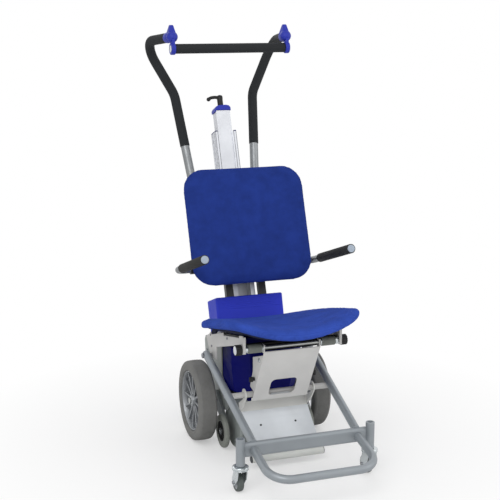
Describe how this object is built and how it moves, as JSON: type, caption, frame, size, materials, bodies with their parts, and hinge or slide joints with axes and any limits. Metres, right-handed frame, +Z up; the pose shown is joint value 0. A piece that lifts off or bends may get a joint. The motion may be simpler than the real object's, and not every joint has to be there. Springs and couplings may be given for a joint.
{
  "type": "portable stair climber with seat",
  "caption": "Seated stair-climbing chair on two large wheels, with powered climbing crank, folding seat and armrests, leaning mast with sliding handles and castors in front.",
  "frame": {"origin": "on the floor, under the middle of the whole object's box", "axes": "+Z up; the seat faces -Y; +X is the sitter's left"},
  "size_m": [0.508, 1.1011, 1.335],
  "materials": {
    "tyre": "warm grey rubber, fine grooves",
    "rim": "satin cast",
    "axle_steel": "machined",
    "climb_hub": "moulded",
    "climb_tread": "dark, fine grooves",
    "casting": "dark grey paint",
    "grey_sheet": "light grey powder coat",
    "silver_frame": "silver-grey powder coat",
    "drive_cover": "dark blue",
    "castor_fork": "bright pressed steel",
    "castor_wheel": "grey",
    "front_shaft": "ribbed sleeves",
    "black_trim": "moulded",
    "back_frame": "black powder coat",
    "plate_aluminium": "satin",
    "board": "black painted plywood",
    "upholstery": "blue woven cover over foam",
    "arm_tube": "satin",
    "foam_grip": "black foam",
    "mast": "pale satin extrusion",
    "handle_tube": "satin",
    "blue_moulding": "blue-violet"
  },
  "bodies": {
    "chassis": {"wheel_axle": "axle_steel", "deck": "grey_sheet", "front_cover": "drive_cover", "rear_cover": "drive_cover", "side_plate_right": "grey_sheet", "side_plate_left": "grey_sheet", "gear_case": "casting", "drive_housing": "casting", "drive_motor": "casting", "rail_right": "silver_frame", "rail_left": "silver_frame", "cross_tube": "grey_sheet", "front_bar": "silver_frame", "foot_loop": "silver_frame", "front_shaft": "front_shaft", "stay_beam": "black_trim", "seat_bracket_right": "grey_sheet", "seat_bracket_left": "grey_sheet", "back_pad": "upholstery", "back_board": "board", "back_frame": "back_frame", "mast": "mast"},
    "crank": {"crank_shaft": "axle_steel", "crank_arm_right": "casting", "crank_arm_left": "casting"},
    "pinion": {"drive_pinion": "axle_steel"},
    "calf_rest": {"calf_plate": "grey_sheet"},
    "foot_rest": {"foot_plate": "plate_aluminium"},
    "seat": {"seat_board": "board", "seat_pad": "upholstery"},
    "upper_handle": {"column": "mast", "mast_cap": "blue_moulding", "yoke": "plate_aluminium", "handle_tube_right": "handle_tube", "handle_tube_left": "handle_tube", "grip_right": "foam_grip", "grip_left": "foam_grip", "knuckle_right": "blue_moulding", "knuckle_left": "blue_moulding", "grip_bar": "foam_grip"},
    "lever": {"clamp_lever": "black_trim"},
    "battery": {"battery": "blue_moulding"},
    "wheel_right": {"tyre_right": "tyre", "rim_right": "rim"},
    "climb_wheel_right": {"climb_hub_right": "climb_hub", "climb_tyre_right": "climb_tread"},
    "castor_right": {"castor_fork_right": "castor_fork"},
    "castor_roll_right": {"castor_wheel_right": "castor_wheel"},
    "clamp_right": {"clamp_knob_right": "black_trim"},
    "arm_right": {"arm_tube_right": "arm_tube", "arm_foam_right": "foam_grip"},
    "wheel_left": {"tyre_left": "tyre", "rim_left": "rim"},
    "climb_wheel_left": {"climb_hub_left": "climb_hub", "climb_tyre_left": "climb_tread"},
    "castor_left": {"castor_fork_left": "castor_fork"},
    "castor_roll_left": {"castor_wheel_left": "castor_wheel"},
    "clamp_left": {"clamp_knob_left": "black_trim"},
    "arm_left": {"arm_tube_left": "arm_tube", "arm_foam_left": "foam_grip"}
  },
  "joints": [
    {"name": "wheel_right_spin", "type": "hinge", "parent": "chassis", "child": "wheel_right", "pos_m": [-0.1965, 0.08295, 0.1315], "axis": [1, 0, 0], "continuous": true},
    {"name": "climb_wheel_right_spin", "type": "hinge", "parent": "crank", "child": "climb_wheel_right", "pos_m": [-0.145, -0.02505, 0.0565], "axis": [1, 0, 0], "continuous": true},
    {"name": "castor_right_swivel", "type": "hinge", "parent": "chassis", "child": "castor_right", "pos_m": [-0.207, -0.37905, 0.0865], "axis": [0, 0, 1], "continuous": true},
    {"name": "castor_right_roll", "type": "hinge", "parent": "castor_right", "child": "castor_roll_right", "pos_m": [-0.207, -0.35905, 0.0285], "axis": [1, 0, 0], "continuous": true},
    {"name": "clamp_right_turn", "type": "hinge", "parent": "chassis", "child": "clamp_right", "pos_m": [-0.1698, -0.25105, 0.396], "axis": [-1, 0, 0], "range_deg": [0, 270]},
    {"name": "arm_right_fold", "type": "hinge", "parent": "chassis", "child": "arm_right", "pos_m": [-0.239, 0.15995, 0.553], "axis": [-1, 0, 0], "range_deg": [0, 95]},
    {"name": "wheel_left_spin", "type": "hinge", "parent": "chassis", "child": "wheel_left", "pos_m": [0.1965, 0.08295, 0.1315], "axis": [1, 0, 0], "continuous": true},
    {"name": "climb_wheel_left_spin", "type": "hinge", "parent": "crank", "child": "climb_wheel_left", "pos_m": [0.145, -0.02505, 0.0565], "axis": [1, 0, 0], "continuous": true},
    {"name": "castor_left_swivel", "type": "hinge", "parent": "chassis", "child": "castor_left", "pos_m": [0.207, -0.37905, 0.0865], "axis": [0, 0, 1], "continuous": true},
    {"name": "castor_left_roll", "type": "hinge", "parent": "castor_left", "child": "castor_roll_left", "pos_m": [0.207, -0.35905, 0.0285], "axis": [1, 0, 0], "continuous": true},
    {"name": "clamp_left_turn", "type": "hinge", "parent": "chassis", "child": "clamp_left", "pos_m": [0.1698, -0.25105, 0.396], "axis": [1, 0, 0], "range_deg": [0, 270]},
    {"name": "arm_left_fold", "type": "hinge", "parent": "chassis", "child": "arm_left", "pos_m": [0.239, 0.15995, 0.553], "axis": [-1, 0, 0], "range_deg": [0, 95]},
    {"name": "crank_turn", "type": "hinge", "parent": "chassis", "child": "crank", "pos_m": [0, 0.08295, 0.1315], "axis": [1, 0, 0], "continuous": true},
    {"name": "pinion_spin", "type": "hinge", "parent": "chassis", "child": "pinion", "pos_m": [-0.053, 0.04795, 0.20786], "axis": [1, 0, 0], "continuous": true},
    {"name": "calf_fold", "type": "hinge", "parent": "chassis", "child": "calf_rest", "pos_m": [0, -0.25105, 0.396], "axis": [-1, 0, 0], "range_deg": [0, 70]},
    {"name": "foot_fold", "type": "hinge", "parent": "chassis", "child": "foot_rest", "pos_m": [0, -0.14605, 0.215], "axis": [-1, 0, 0], "range_deg": [0, 35]},
    {"name": "seat_fold", "type": "hinge", "parent": "chassis", "child": "seat", "pos_m": [0, 0.05495, 0.358], "axis": [-1, 0, 0], "range_deg": [0, 30]},
    {"name": "handle_slide", "type": "slide", "parent": "chassis", "child": "upper_handle", "axis": [0, 0.3502, 0.9367], "range_m": [-0.07, 0.115]},
    {"name": "lever_turn", "type": "hinge", "parent": "upper_handle", "child": "lever", "pos_m": [0, 0.4277, 1.05958], "axis": [0, 0.3502, 0.9367], "range_deg": [0, 90]},
    {"name": "battery_slide", "type": "slide", "parent": "chassis", "child": "battery", "axis": [0, 0.3502, 0.9367], "range_m": [0, 0.078]}
  ],
  "couplings": [
    {"joint": "pinion_spin", "follows": "crank_turn", "ratio": -3}
  ]
}
